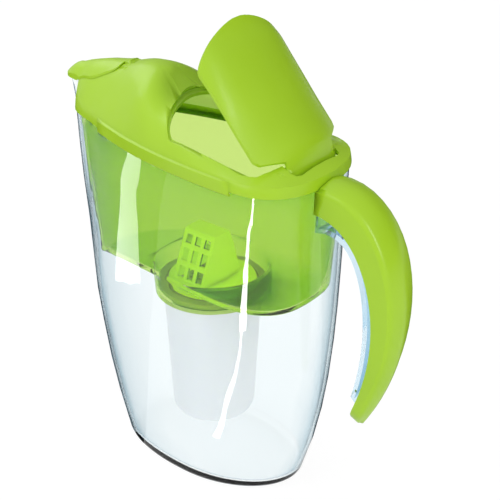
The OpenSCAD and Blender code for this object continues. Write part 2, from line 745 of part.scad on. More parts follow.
// Ledge that the closed flap rests on, along the opening's sides and round its front
ledge_drop = flap_t + 2 * seat_gap;
ledge_t = 2;
ledge_out = 1.8;
function ledge_section(outer, edge, inner) =
    [[outer[0], outer[1], crown_z(outer[0], outer[1]) - 1.1],
     [outer[0], outer[1], crown_z(outer[0], outer[1]) - ledge_drop - ledge_t],
     [inner[0], inner[1], crown_z(inner[0], inner[1]) - ledge_drop - ledge_t],
     [inner[0], inner[1], crown_z(inner[0], inner[1]) - ledge_drop],
     [edge[0], edge[1], crown_z(edge[0], edge[1]) - ledge_drop],
     [edge[0], edge[1], crown_z(edge[0], edge[1]) - 1.1]];
ledge_half = concat(
    [for (k = [0:3])
        let (x = mix(opening_rear - 1, opening_front + 8, k / 3))
        ledge_section([x, opening_half + ledge_out], [x, opening_half + 0.4],
                      [x, opening_half - ledge_w])],
    [for (k = [arc_steps:-1:0])
        let (a = 90 * (1 - cos(90 * k / arc_steps)))
        ledge_section(arc_point(a, ledge_out), arc_point(a, 0.4), arc_point(a, -ledge_w))]);
module ledge() {
    last = len(ledge_half) - 1;
    other = [for (i = [0:last - 1]) [for (p = ledge_half[i]) [p[0], -p[1], p[2]]]];
    loft(concat(other, [for (i = [last:-1:0]) ledge_half[i]]));
}

// Ear that holds one end of the flip flap's hinge
trunnion_r = 1.5;
trunnion_end = tongue_half + 5;
ear_in = slot_half + 0.7;
ear_out = trunnion_end + 1;
ear_front = hinge_x - 2.9;
ear_rear = hinge_x + 4;
ear_z = hinge_z - 3.3;
module ear() {
    middle = (ear_in + ear_out) / 2;
    translate([0, ear_out, 0])
        rotate([90, 0, 0])
            linear_extrude(height = ear_out - ear_in)
                polygon([[ear_front, ear_z], [ear_rear, ear_z],
                         [ear_rear, crown_z(ear_rear, middle) - 1.2],
                         [ear_front, crown_z(ear_front, middle) - 1.2]]);
}

// The spout flap turns in two small bosses under a notch
leaf_hinge_z = crest(leaf_hinge_x) - 3.8;
leaf_barrel_r = 4.4;
leaf_barrel_half = 3.9;
leaf_pin_r = 1;
leaf_pin_end = 7.4;
boss_in = leaf_barrel_half + 0.4;
module leaf_boss() {
    translate([leaf_hinge_x - 2.4, boss_in, leaf_hinge_z - 2.2])
        cube([4.8, leaf_pin_end + 0.8 - boss_in, 4.2]);
}

module lid_shell() {
    color(lime_green)
        difference() {
            union() {
                difference() {
                    lid_crown();
                    opening_cutter();
                }
                for (s = [0, 1])
                    mirror([0, s, 0]) {
                        skirt();
                        ear();
                        leaf_boss();
                    }
                ledge();
            }
            translate([nose_cut_x - 40, -40, lid_z - 1])
                cube([40, 80, 40]);
            translate([leaf_hinge_x - leaf_barrel_r - 0.5, -boss_in, leaf_hinge_z - 6])
                cube([2 * leaf_barrel_r + 1, 2 * boss_in, 14]);
            translate([hinge_x, 0, hinge_z])
                rotate([90, 0, 0])
                    cylinder(h = 2 * ear_out + 2, r = trunnion_r + pivot_clearance, center = true);
            translate([leaf_hinge_x, 0, leaf_hinge_z])
                rotate([90, 0, 0])
                    cylinder(h = 2 * leaf_pin_end + 4, r = leaf_pin_r + pivot_clearance, center = true);
        }
}

// ---------------------------------------------------------------- flip flap

flap_across = 7;
barrel_r = 3.2;
web_half = 1.3;
fascia_x = tongue_rear - 4;
fascia_h = 4.6;
neck_front = 58.2;
neck_rear = 63.4;
neck_half = tongue_half + 2.2;

// Half width of the flap at x
function flap_half(x) =
    let (w = opening_half - flap_gap, a = opening_arc - flap_gap)
    x < opening_front ? w * pow(max(0, 1 - pow((opening_front - x) / a, arc_power)), 1 / arc_power)
    : x < opening_rear ? w
    : x < neck_front ? mix(w, w - 2.2, (x - opening_rear) / (neck_front - opening_rear))
    : x < neck_rear ? mix(w - 2.2, neck_half, (x - neck_front) / (neck_rear - neck_front))
    : x < neck_rear + 1 ? mix(neck_half, tongue_half, x - neck_rear)
    : tongue_half - 3 * pow(clamp01((x - tongue_rear + 4) / 4), 2);

// Depth of the flap's underside below its top at x
function flap_under(x) =
    abs(x - hinge_x) < web_half ? crest(hinge_x) - hinge_z - 1 : x > fascia_x ? fascia_h : flap_t;

flap_stations = concat(
    [for (k = [1:12]) opening_front - (opening_arc - flap_gap) * cos(90 * k / 12 * 0.999 + 1.2)],
    [for (x = [opening_front + 14:13:opening_rear - 6]) x],
    [opening_rear, neck_front, mix(neck_front, neck_rear, 0.5), neck_rear, neck_rear + 1,
     hinge_x - web_half - 0.1, hinge_x - web_half + 0.1, hinge_x + web_half - 0.1,
     hinge_x + web_half + 0.1, fascia_x - 0.1, fascia_x + 0.1, tongue_rear - 2.2, tongue_rear - 0.8,
     tongue_rear]);

function flap_section(x) =
    let (half = flap_half(x),
         across = [for (k = [-flap_across:flap_across]) half * sin(90 * k / flap_across)],
         top = [for (y = across) [x, y, crown_z(x, y)]],
         under = [for (k = [2 * flap_across:-1:0])
             [x, across[k], crown_z(x, across[k]) - flap_under(x)]])
    concat(top, under);

// The flap stands open by flap_open about its hinge
module flip_flap() {
    color(lime_green)
        translate([hinge_x, 0, hinge_z])
            rotate([0, flap_open, 0])
                translate([-hinge_x, 0, -hinge_z]) {
                    loft([for (x = flap_stations) flap_section(x)]);
                    translate([hinge_x, 0, hinge_z])
                        rotate([90, 0, 0]) {
                            cylinder(h = 2 * tongue_half, r = barrel_r, center = true);
                            cylinder(h = 2 * trunnion_end, r = trunnion_r, center = true);
                        }
                }
}

// ---------------------------------------------------------------- spout flap

leaf_gap = 0.45;
leaf_across = 5;
// Behind this place the leaf reaches down to its barrel
leaf_web_x = -73;
// Length behind the web over which the leaf thickens to leaf_t, and its share of leaf_t at the web
leaf_taper = 14;
leaf_thin = 0.45;
leaf_front_x = -112;
leaf_rear_x = leaf_hinge_x + 0.6;
leaf_widths = [[-leaf_tip, 1.6], [-leaf_tip + 1.2, 3.6], [-leaf_tip + 5, 5.4], [leaf_front_x, 7.4],
               [-98, leaf_half - 0.3], [-86, leaf_half - 0.5], [-78.4, leaf_half - 1.5],
               [-75, leaf_half - 3.6], [-73.6, leaf_barrel_half - 0.3],
               [leaf_rear_x, leaf_barrel_half - 0.3]];
leaf_stations = [-leaf_tip, 0.6 - leaf_tip, 1.2 - leaf_tip, 3 - leaf_tip, 5 - leaf_tip, 8 - leaf_tip,
                 leaf_front_x - 3, leaf_front_x, -106, -98, -92, -86, -81, -78.4, -76.5, -75, -74.2,
                 -73.6, -72.6, leaf_hinge_x - 1, leaf_rear_x];
hood_z = rim_z + lip_rise + 0.6;
hood_fall = 9;

function leaf_half_at(x) = curve(leaf_widths, x);
// The leaf follows the lid's crown, and ahead of the lid it carries on down the spout's line
function leaf_under(x, y) =
    let (s = max(x, leaf_front_x), k = clamp01((leaf_front_x - x) / (leaf_tip + leaf_front_x)))
    crown_z(s, y) + leaf_gap - hood_fall * pow(k, 1.8);
function leaf_top(x) = leaf_t * mix(leaf_thin, 1, clamp01((leaf_web_x - x) / leaf_taper));
function leaf_section(x) =
    let (half = leaf_half_at(x), n = 2 * leaf_across,
         across = [for (k = [-leaf_across:leaf_across]) half * sin(90 * k / leaf_across)],
         top = [for (y = across) [x, y, leaf_under(x, y) + leaf_top(x)]],
         side_z = mix(leaf_under(x, half), hood_z, smooth01((nose_cut_x - 0.3 - x) / 1.5)),
         web = x > leaf_web_x,
         under = [for (k = [n:-1:0])
             [x, across[k], web ? leaf_hinge_z + 1
                                : (k == 0 || k == n) ? side_z : leaf_under(x, across[k])]])
    concat(top, under);

module spout_flap() {
    color(lime_green) {
        loft([for (x = leaf_stations) leaf_section(x)]);
        translate([leaf_hinge_x, 0, leaf_hinge_z])
            rotate([90, 0, 0]) {
                cylinder(h = 2 * leaf_barrel_half, r = leaf_barrel_r, center = true);
                cylinder(h = 2 * leaf_pin_end, r = leaf_pin_r, center = true);
            }
    }
}

jug_body();
handle_stem();
handle_cover();
hopper();
lid_shell();
flip_flap();
spout_flap();
cartridge_cup();
cartridge_cage();
cartridge_seal();
inlet_screen();
carbon_bed();
felt_divider();
resin_bed();
outlet_screen();
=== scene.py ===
"""Looks of a water filter pitcher with a flip lid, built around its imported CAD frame.

Every length is in metres and every place is in the frame of the CAD model.
"""

import json
import logging
import math
from abc import ABC, abstractmethod
from collections.abc import Callable, Iterator
from contextlib import contextmanager
from dataclasses import dataclass, field
from enum import Enum
from typing import ClassVar

import bmesh
import bpy
from mathutils import Matrix, Vector

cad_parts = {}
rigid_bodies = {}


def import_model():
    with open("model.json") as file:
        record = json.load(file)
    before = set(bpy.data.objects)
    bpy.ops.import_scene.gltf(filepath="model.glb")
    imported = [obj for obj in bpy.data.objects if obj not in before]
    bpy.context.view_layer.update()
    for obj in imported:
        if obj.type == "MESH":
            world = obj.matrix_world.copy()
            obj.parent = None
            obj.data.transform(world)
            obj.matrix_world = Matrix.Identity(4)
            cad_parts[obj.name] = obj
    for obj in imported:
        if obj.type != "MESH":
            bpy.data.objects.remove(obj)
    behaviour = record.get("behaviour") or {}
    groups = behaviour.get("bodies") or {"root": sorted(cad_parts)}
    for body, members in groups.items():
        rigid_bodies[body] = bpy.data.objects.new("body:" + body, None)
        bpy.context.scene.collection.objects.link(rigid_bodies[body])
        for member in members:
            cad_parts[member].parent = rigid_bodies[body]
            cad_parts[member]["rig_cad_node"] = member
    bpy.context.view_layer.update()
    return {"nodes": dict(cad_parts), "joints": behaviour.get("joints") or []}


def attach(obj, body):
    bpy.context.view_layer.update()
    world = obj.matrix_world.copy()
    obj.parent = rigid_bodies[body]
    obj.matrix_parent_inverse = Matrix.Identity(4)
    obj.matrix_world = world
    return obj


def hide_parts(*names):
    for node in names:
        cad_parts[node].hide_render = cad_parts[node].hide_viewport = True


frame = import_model()

log = logging.getLogger("pitcher")

Colour = tuple[float, float, float]
Place = tuple[float, float, float]
Span = tuple[float, float]
Socket = bpy.types.NodeSocket

WHITE = (1, 1, 1, 1)

# The transfer curve of sRGB, from screen values to linear ones.
SRGB_KNEE = 0.04045
SRGB_SLOPE = 12.92
SRGB_LIFT = 0.055
SRGB_POWER = 2.4


class Body(Enum):
    """CAD bodies that the pieces ride on."""

    JUG = "jug"
    HOPPER = "hopper"
    LID = "lid"
    FLAP = "flap"
    LEAF = "leaf"
    CARTRIDGE = "cartridge"


class Slot(Enum):
    """Material slots of the record."""

    CLEAR = "clear_plastic"
    LIME = "lime_plastic"
    TINTED = "tinted_plastic"
    WHITE = "white_plastic"
    BRIGHT = "bright_plastic"
    SEAL = "seal_rubber"
    SCREEN = "screen_plastic"
    CARBON = "carbon"
    FELT = "felt"
    RESIN = "resin"


class Mixed(Enum):
    """What a mix node mixes, with the places of its two inputs and of its result."""

    FLOAT = (2, 3, 0)
    RGBA = (6, 7, 2)


def linear(code: str) -> Colour:
    """Turns a hexadecimal screen colour into a linear one.

    Args:
        code: Six hexadecimal digits.

    Returns:
        The linear red, green and blue.
    """
    shares = (int(code[i : i + 2], 16) / 255 for i in (0, 2, 4))
    return tuple(
        s / SRGB_SLOPE if s < SRGB_KNEE else ((s + SRGB_LIFT) / (1 + SRGB_LIFT)) ** SRGB_POWER
        for s in shares
    )


# ---------------------------------------------------------------- finishes


class NodeSheet:
    """A node tree, with short calls to add and join nodes."""

    def __init__(self, tree: bpy.types.NodeTree, output: str) -> None:
        """Empties a tree and starts it with its output.

        Args:
            tree: The node tree.
            output: The output node's type.
        """
        self.tree = tree
        self.tree.nodes.clear()
        self.output = self.tree.nodes.new(output)

    def join(self, source: Socket, target: Socket) -> None:
        """Links two sockets."""
        self.tree.links.new(source, target)

    def feed(self, entry: Socket, value: object) -> None:
        """Links an input to a socket, or sets it to a plain value.

        Args:
            entry: The input.
            value: A socket or a plain value.
        """
        if isinstance(value, Socket):
            self.join(value, entry)
        else:
            entry.default_value = value

    def add(self, kind: str, **settings: object) -> bpy.types.Node:
        """Adds a node.

        Args:
            kind: The node's type.
            **settings: Attributes, or sockets or values for the inputs whose names have
                underscores for spaces.

        Returns:
            The new node.
        """
        node = self.tree.nodes.new(kind)
        for key, value in settings.items():
            if hasattr(node, key):
                setattr(node, key, value)
            else:
                self.feed(node.inputs[key.replace("_", " ")], value)
        return node

    def maths(self, operation: str, *terms: float | Socket, clamped: bool = False) -> Socket:
        """Returns the result of a math node.

        Args:
            operation: The node's operation.
            *terms: Numbers and sockets, in the order of its inputs.
            clamped: Whether the result is kept between 0 and 1.

        Returns:
            The result.
        """
        node = self.add("ShaderNodeMath", operation=operation, use_clamp=clamped)
        for entry, term in zip(node.inputs, terms):
            self.feed(entry, term)
        return node.outputs[0]

    def spread(self, value: Socket, source: Span, target: Span, curve: str = "LINEAR") -> Socket:
        """Maps one range of a value onto another.

        Args:
            value: The value.
            source: The range that is read.
            target: The range that it becomes.
            curve: How the way between its ends goes.

        Returns:
            The mapped value.
        """
        node = self.add(
            "ShaderNodeMapRange", interpolation_type=curve, Value=value, From_Min=source[0],
            From_Max=source[1], To_Min=target[0], To_Max=target[1],
        )
        return node.outputs["Result"]

    def blend(self, kind: Mixed, share: Socket, start: object, end: object) -> Socket:
        """Returns a mix of two values.

        Args:
            kind: What is mixed.
            share: Share of the second value.
            start: The first value, or its socket.
            end: The second value, or its socket.

        Returns:
            The mixed value.
        """
        node = self.add("ShaderNodeMix", data_type=kind.name)
        start_at, end_at, result_at = kind.value
        self.feed(node.inputs[0], share)
        self.feed(node.inputs[start_at], start)
        self.feed(node.inputs[end_at], end)
        return node.outputs[result_at]

    def mix_shaders(
        self, share: Socket, start: bpy.types.Node, end: bpy.types.Node
    ) -> bpy.types.Node:
        """Mixes two shaders.

        Args:
            share: Share of the second shader.
            start: The first shader.
            end: The second shader.

        Returns:
            The mix.
        """
        mix = self.add("ShaderNodeMixShader")
        for entry, source in zip(mix.inputs, (share, start.outputs[0], end.outputs[0])):
            self.join(source, entry)
        return mix

    def plain_white(self, share: float, mirrored: float = 0.0) -> Socket:
        """Returns how far a backdrop is plain white.

        Args:
            share: Its share where the viewer looks, straight or through glass.
            mirrored: What part of that share gloss sees.

        Returns:
            The share.
        """
        path = self.add("ShaderNodeLightPath").outputs
        viewer = self.maths("MAXIMUM", path["Is Camera Ray"], path["Is Transmission Ray"])
        either = self.maths("MULTIPLY_ADD", path["Is Glossy Ray"], mirrored, viewer, clamped=True)
        return self.maths("MULTIPLY", either, share)

    def finish(self, shader: bpy.types.Node) -> None:
        """Joins the last shader to the output."""
        self.join(shader.outputs[0], self.output.inputs["Surface"])


class MaterialSheet(NodeSheet):
    """A new material's node tree.

    Attributes:
        NOISE_MIDDLE: Range that most of a noise pattern lies in.
        HOLLOW_REACH: How far off a wall counts for the painted shade in hollows.
        HOLLOW_RANGE: Openness at which the painted shade in hollows is deepest, and at which it
            ends.
    """

    NOISE_MIDDLE: ClassVar[Span] = (0.3, 0.7)
    HOLLOW_REACH: ClassVar[float] = 0.02
    HOLLOW_RANGE: ClassVar[Span] = (0.45, 0.7)

    def __init__(self, name: str) -> None:
        """Starts a material with an output and its patterns' place.

        Args:
            name: The material's name.
        """
        self.material = bpy.data.materials.new(name)
        self.material.use_nodes = True
        super().__init__(self.material.node_tree, "ShaderNodeOutputMaterial")
        self.place = self.add("ShaderNodeTexCoord").outputs["Object"]

    def noise(self, scale: float, detail: float = 3.0) -> Socket:
        """Returns a noise pattern in object space.

        Args:
            scale: Waves per metre.
            detail: Octaves of the noise.

        Returns:
            The pattern's factor.
        """
        node = self.add("ShaderNodeTexNoise", Vector=self.place, Scale=scale, Detail=detail)
        return node.outputs["Fac"]

    def patches(self, scale: float, target: Span, detail: float = 3.0) -> Socket:
        """Returns a value that varies softly between two ends.

        Args:
            scale: Waves per metre.
            target: The value's ends.
            detail: Octaves of the noise.

        Returns:
            The value.
        """
        return self.spread(self.noise(scale, detail), self.NOISE_MIDDLE, target)

    def ramp(self, factor: Socket, *stops: tuple[float, Colour]) -> Socket:
        """Maps a factor onto colours.

        Args:
            factor: Where to read on the ramp.
            *stops: Places and colours, in order.

        Returns:
            The colour.
        """
        node = self.add("ShaderNodeValToRGB", Fac=factor)
        elements = node.color_ramp.elements
        for element, (place, colour) in zip((elements[0], elements[1]), (stops[0], stops[-1])):
            element.position, element.color = place, (*colour, 1)
        for place, colour in stops[1:-1]:
            elements.new(place).color = (*colour, 1)
        return node.outputs["Color"]

    def bump(self, pattern: Socket, depth: float) -> Socket:
        """Returns a normal that a pattern dents.

        Args:
            pattern: Height of the surface, from 0 to 1.
            depth: Depth of the dents.

        Returns:
            The normal.
        """
        return self.add("ShaderNodeBump", Height=pattern, Distance=depth).outputs["Normal"]

    def shade_hollows(self, colour: Socket, inner: Colour) -> Socket:
        """Paints shade into a colour inside the piece's own hollows, darkest where least open.

        Args:
            colour: The colour of the open surface.
            inner: The colour of the painted shade in the hollows.

        Returns:
            The mixed colour.
        """
        light = self.add("ShaderNodeAmbientOcclusion", only_local=True, Distance=self.HOLLOW_REACH)
        share = self.spread(light.outputs["AO"], self.HOLLOW_RANGE, (0.0, 1.0))
        return self.blend(Mixed.RGBA, share, (*inner, 1), colour)


@dataclass(frozen=True)
class Finish(ABC):
    """A surface finish, which is made into a material once.

    Attributes:
        name: The material's name.
    """

    name: str

    def material(self) -> bpy.types.Material:
        """Builds the material.

        Returns:
            The material.
        """
        sheet = MaterialSheet(self.name)
        sheet.finish(self.shader(sheet))
        return sheet.material

    @abstractmethod
    def shader(self, sheet: MaterialSheet) -> bpy.types.Node:
        """Lays the finish's nodes.

        Args:
            sheet: The sheet that they go on.

        Returns:
            The last shader.
        """


@dataclass(frozen=True)
class SeeThroughPlastic(Finish):
    """Transparent plastic, deeper in tint and darkened by painted shade where seen edge-on.

    Attributes:
        face: Colour straight through the wall.
        slant: Colour where the wall turns away, partly deeper tint and partly painted shade.
        edge: Colour along the wall, at its outline: painted shade that draws a dark line there.
        stops: Shares of the facing angle at which the face colour ends, the slant colour is
            reached, and the edge colour is reached.
        roughness: Least and greatest roughness.
        index: Index of refraction.
        wave: Depth of the moulding waves.
        coat: Weight of the gloss coat.
        COAT_ROUGHNESS: Roughness of the gloss coat.
        ROUGH_PATCHES: Patches of roughness in a metre.
        WAVES: Moulding waves in a metre.
    """

    face: Colour
    slant: Colour
    edge: Colour
    stops: tuple[float, float, float]
    roughness: Span
    index: float
    wave: float
    coat: float
    COAT_ROUGHNESS: ClassVar[float] = 0.03
    ROUGH_PATCHES: ClassVar[float] = 60
    WAVES: ClassVar[float] = 25

    def shader(self, sheet: MaterialSheet) -> bpy.types.Node:
        """Lays the finish's nodes.

        Args:
            sheet: The sheet that they go on.

        Returns:
            The last shader.
        """
        # Colour by facing angle: deeper tint towards the outline, and painted shade for its dark
        # line.
        facing = sheet.add("ShaderNodeLayerWeight", Blend=0.5).outputs["Facing"]
        colours = zip(self.stops, (self.face, self.slant, self.edge))
        return sheet.add(
            "ShaderNodeBsdfPrincipled",
            Base_Color=sheet.ramp(facing, *colours),
            Roughness=sheet.patches(self.ROUGH_PATCHES, self.roughness),
            Normal=sheet.bump(sheet.noise(self.WAVES, detail=1), self.wave),
            IOR=self.index,
            Transmission_Weight=1.0,
            Coat_Weight=self.coat,
            Coat_Roughness=self.COAT_ROUGHNESS,
        )


@dataclass(frozen=True)
class MouldedPlastic(Finish):
    """Opaque moulded plastic with a soft gloss and a fine grain.

    Attributes:
        colour: Main colour.
        deep: Colour of the slightly darker flow marks.
        roughness: Least and greatest roughness.
        coat: Weight of the gloss coat.
        glow: Share of light that scatters under the surface.
        bright: Strength of painted light that the surface gives off in its own colour; on a
        fluorescent pigment it also stands for the pigment's glow.
        hollow_shade: Colour of painted shade deep inside the piece's hollows, if there is any.
        INDEX: Index of refraction.
        SPECULAR: Strength of the gloss.
        COAT_ROUGHNESS: Roughness of the gloss coat.
        GLOW_DEPTH: How deep light goes under the surface.
        GLOW_REACH: Shares of that depth for red, green and blue.
        FLOW_MARKS: Flow marks in a metre.
        ROUGH_PATCHES: Patches of roughness in a metre.
        GRAINS: Grains in a metre.
        GRAIN_DEPTH: Depth of the grain.
    """

    colour: Colour
    deep: Colour
    roughness: Span
    coat: float = 0.15
    glow: float = 0.0
    bright: float = 0.0
    hollow_shade: Colour | None = None
    INDEX: ClassVar[float] = 1.49
    SPECULAR: ClassVar[float] = 0.4
    COAT_ROUGHNESS: ClassVar[float] = 0.12
    GLOW_DEPTH: ClassVar[float] = 0.004
    GLOW_REACH: ClassVar[Colour] = (0.8, 1.0, 0.4)
    FLOW_MARKS: ClassVar[float] = 14
    ROUGH_PATCHES: ClassVar[float] = 90
    GRAINS: ClassVar[float] = 2600
    GRAIN_DEPTH: ClassVar[float] = 0.000005

    def shader(self, sheet: MaterialSheet) -> bpy.types.Node:
        """Lays the finish's nodes.

        Args:
            sheet: The sheet that they go on.

        Returns:
            The last shader.
        """
        marks = sheet.patches(self.FLOW_MARKS, (0.0, 1.0), detail=2)
        colour = sheet.ramp(marks, (0.0, self.deep), (1.0, self.colour))
        # Painted shade in the hollows, where little light reaches.
        if self.hollow_shade:
            colour = sheet.shade_hollows(colour, self.hollow_shade)
        return sheet.add(
            "ShaderNodeBsdfPrincipled",
            Base_Color=colour,
            Roughness=sheet.patches(self.ROUGH_PATCHES, self.roughness),
            Normal=sheet.bump(sheet.noise(self.GRAINS, detail=2), self.GRAIN_DEPTH),
            IOR=self.INDEX,
            Specular_IOR_Level=self.SPECULAR,
            Coat_Weight=self.coat,
            Coat_Roughness=self.COAT_ROUGHNESS,
            Subsurface_Weight=self.glow,
            Subsurface_Scale=self.GLOW_DEPTH,
            Subsurface_Radius=self.GLOW_REACH,
            # Painted light: the surface glows in its own colour.
            Emission_Color=colour if self.hollow_shade else (*self.colour, 1),
            Emission_Strength=self.bright,
        )


@dataclass(frozen=True)
class Granules(Finish):
    """Loose bed of grains.

    Attributes:
        light: Colour of the light grains.
        dark: Colour of the dark grains.
        per_metre: Grains in a metre.
        roughness: Roughness of a grain.
        RELIEF: Height of a grain.
    """

    light: Colour
    dark: Colour
    per_metre: float
    roughness: float
    RELIEF: ClassVar[float] = 0.0004

    def shader(self, sheet: MaterialSheet) -> bpy.types.Node:
        """Lays the finish's nodes.

        Args:
            sheet: The sheet that they go on.

        Returns:
            The last shader.
        """
        grains = sheet.add("ShaderNodeTexVoronoi", Vector=sheet.place, Scale=self.per_metre)
        tone = sheet.add("ShaderNodeSeparateColor", Color=grains.outputs["Color"])
        return sheet.add(
            "ShaderNodeBsdfPrincipled",
            Base_Color=sheet.ramp(tone.outputs[0], (0.0, self.dark), (1.0, self.light)),
            Roughness=self.roughness,
            Normal=sheet.bump(grains.outputs["Distance"], self.RELIEF),
        )


@dataclass(frozen=True)
class PressedFelt(Finish):
    """Pressed fibre pad.

    Attributes:
        colour: Colour of the fibres.
        SHADE: Brightness between the fibres, as a share of theirs.
        SHADE_RANGE: Range of the pattern over which that shade turns to their colour.
        FIBRES: Fibres in a metre.
        RELIEF: Height of a fibre.
        ROUGHNESS: Roughness of a fibre.
        SHEEN: Weight of the fuzz.
    """

    colour: Colour
    SHADE: ClassVar[float] = 0.75
    SHADE_RANGE: ClassVar[Span] = (0.35, 0.65)
    FIBRES: ClassVar[float] = 1500
    RELIEF: ClassVar[float] = 0.0003
    ROUGHNESS: ClassVar[float] = 0.95
    SHEEN: ClassVar[float] = 0.4

    def shader(self, sheet: MaterialSheet) -> bpy.types.Node:
        """Lays the finish's nodes.

        Args:
            sheet: The sheet that they go on.

        Returns:
            The last shader.
        """
        fibres = sheet.noise(self.FIBRES, detail=5)
        dark = tuple(self.SHADE * c for c in self.colour)
        colours = zip(self.SHADE_RANGE, (dark, self.colour))
        return sheet.add(
            "ShaderNodeBsdfPrincipled",
            Base_Color=sheet.ramp(fibres, *colours),
            Roughness=self.ROUGHNESS,
            Normal=sheet.bump(fibres, self.RELIEF),
            Sheen_Weight=self.SHEEN,
        )


FINISHES: dict[Slot, Finish] = {
    # Slant and edge colours: partly deeper tint, partly painted shade for the dark outlines.
    Slot.CLEAR: SeeThroughPlastic(
        "clear_jug", linear("F9FDFE"), linear("B4CDD8"), linear("1C3A48"),
        stops=(0.45, 0.74, 0.88), roughness=(0.01, 0.03), index=1.14, wave=0.00001, coat=0.3,
    ),
    Slot.TINTED: SeeThroughPlastic(
        "tinted_hopper", linear("CFE780"), linear("A6D444"), linear("3F7812"),
        stops=(0.3, 0.75, 0.93), roughness=(0.02, 0.05), index=1.06, wave=0.00001, coat=0.2,
    ),
    Slot.LIME: MouldedPlastic("lime_shell", linear("A2CC1E"), linear("9CC61A"), (0.3, 0.42)),
    Slot.WHITE: MouldedPlastic(
        "white_cup", linear("FAFBFB"), linear("F6F8F8"), (0.3, 0.42), coat=0.1, glow=0.1
    ),
    # The cage glows (painted light, partly its fluorescent pigment) and has painted shade in its
    # windows.
    Slot.BRIGHT: MouldedPlastic(
        "bright_cage", linear("E6FF50"), linear("DCFA40"), (0.3, 0.4), coat=0.1, bright=0.4,
        hollow_shade=linear("4E7A12"),
    ),
    Slot.SEAL: MouldedPlastic(
        "seal_ring", linear("E6E9E6"), linear("DADDDA"), (0.55, 0.7), coat=0.0
    ),
    Slot.SCREEN: MouldedPlastic(
        "screen_disc", linear("C7CACB"), linear("B8BCBD"), (0.4, 0.55), coat=0.0
    ),
    Slot.CARBON: Granules("carbon_grains", linear("3A3A3A"), linear("101010"), 900, 0.6),
    Slot.FELT: PressedFelt("felt_pad", linear("D6D2C6")),
    Slot.RESIN: Granules("resin_beads", linear("D9B46A"), linear("A87C34"), 1400, 0.35),
}

# Paler lime that glows faintly: painted light for the dome's shaded inside.
LID_INSIDE_PAINTED_LIGHT = MouldedPlastic(
    "lid_inside_painted_light", linear("D2E596"), linear("CBDF8C"), (0.4, 0.55), bright=0.1
)
# The stem's slant and edge colours are partly deeper tint, partly painted shade for its outline.
BLUE_RIB = SeeThroughPlastic(
    "blue_rib", linear("DCF0FA"), linear("9CCBE6"), linear("4A8FB8"),
    stops=(0.3, 0.7, 0.92), roughness=(0.02, 0.05), index=1.1, wave=0.00002, coat=0.5,
)


class Finishes:
    """Materials by finish, each made at its first use."""

    def __init__(self) -> None:
        """Starts with no material made."""
        self._made: dict[str, bpy.types.Material] = {}

    def _material(self, finish: Finish) -> bpy.types.Material:
        """Returns a finish's material, which is made if need be.

        Args:
            finish: The finish.

        Returns:
            The material.
        """
        if finish.name not in self._made:
            self._made[finish.name] = finish.material()
        return self._made[finish.name]

    def dress(self, piece: bpy.types.Object, slot: Slot, finish: Finish | None = None) -> None:
        """Gives a piece, or a carried-over node, the material of its slot or of its own finish.

        Args:
            piece: The object.
            slot: Its slot.
            finish: Its own finish, where that differs from the slot's.
        """
        piece.data.materials.clear()
        piece.data.materials.append(self._material(finish or FINISHES[slot]))

    def line(self, piece: bpy.types.Object, finish: Finish) -> None:
        """Adds a second finish to a piece, for the painted light on its inside."""
        piece.data.materials.append(self._material(finish))


# ---------------------------------------------------------------- modelling


def take_up(piece: bpy.types.Object) -> None:
    """Makes a piece the only selected object, and the active one.

    Args:
        piece: The object.
    """
    bpy.ops.object.select_all(action="DESELECT")
    piece.select_set(True)
    bpy.context.view_layer.objects.active = piece


@contextmanager
def edited(piece: bpy.types.Object) -> Iterator[None]:
    """Opens a mesh in edit mode, and leaves the mode afterwards.

    Args:
        piece: The mesh.

    Yields:
        Nothing.
    """
    take_up(piece)
    bpy.ops.object.mode_set(mode="EDIT")
    yield
    bpy.ops.object.mode_set(mode="OBJECT")


def pick(piece: bpy.types.Object, kind: str, wanted: Callable[..., bool]) -> int:
    """Selects the wanted faces or edges of a mesh in edit mode, and nothing else.

    Args:
        piece: The mesh.
        kind: FACE or EDGE.
        wanted: Tells whether a face or an edge is wanted.

    Returns:
        How many are selected.
    """
    bpy.ops.mesh.select_all(action="DESELECT")
    bpy.ops.mesh.select_mode(type=kind)
    mesh = bmesh.from_edit_mesh(piece.data)
    parts = mesh.faces if kind == "FACE" else mesh.edges
    for part in parts:
        part.select_set(wanted(part))
    count = sum(part.select for part in parts)
    bmesh.update_edit_mesh(piece.data)
    return count


